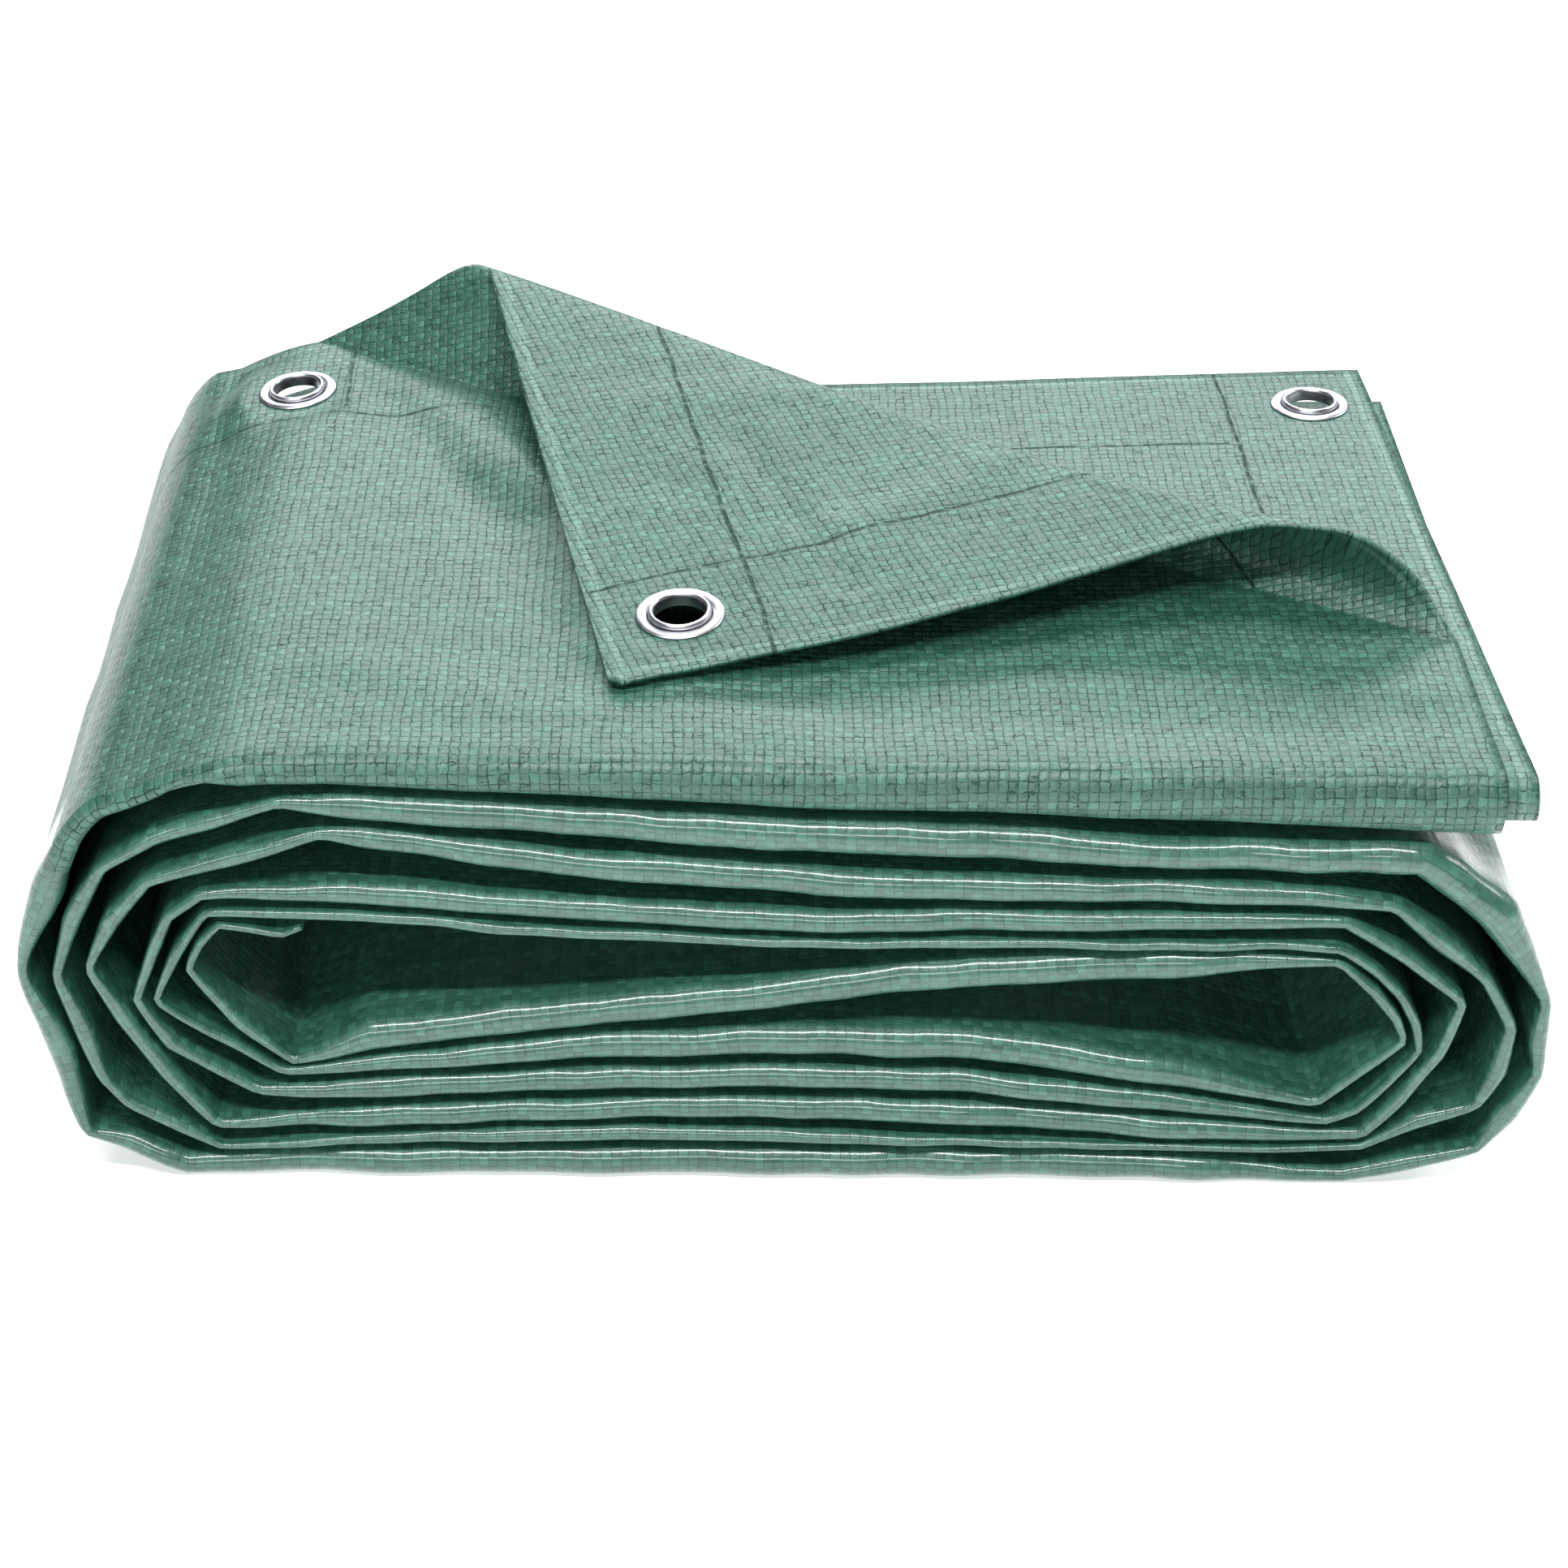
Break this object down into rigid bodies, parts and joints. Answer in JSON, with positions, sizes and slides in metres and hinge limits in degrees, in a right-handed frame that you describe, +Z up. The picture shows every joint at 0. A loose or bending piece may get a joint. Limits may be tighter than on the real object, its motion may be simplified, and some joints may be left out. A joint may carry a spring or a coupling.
{
  "type": "folded tarp",
  "caption": "Woven plastic ground sheet folded into a strip and wound flat into a bundle, with one eyeletted corner turned over on top.",
  "frame": {"origin": "centre of the bundle's outline, on the surface it lies on", "axes": "+X runs along the bundle to the right, +Y from the front folds to the back edges, +Z up"},
  "size_m": [0.3602, 0.2404, 0.1404],
  "materials": {
    "tarp_cloth": "green laminated woven plastic, satin, with a fine flat-tape weave and shiny folds",
    "eyelet_metal": "bright pressed aluminium"
  },
  "bodies": {
    "root": {"wound_strip": "tarp_cloth", "upper_ply": "tarp_cloth", "lower_ply": "tarp_cloth", "hem_turned": "tarp_cloth", "hem_back": "tarp_cloth", "hem_under": "tarp_cloth", "grommet_turned": "eyelet_metal", "grommet_back": "eyelet_metal", "grommet_under": "eyelet_metal", "washer_turned": "eyelet_metal", "washer_back": "eyelet_metal", "washer_under": "eyelet_metal"}
  },
  "joints": []
}
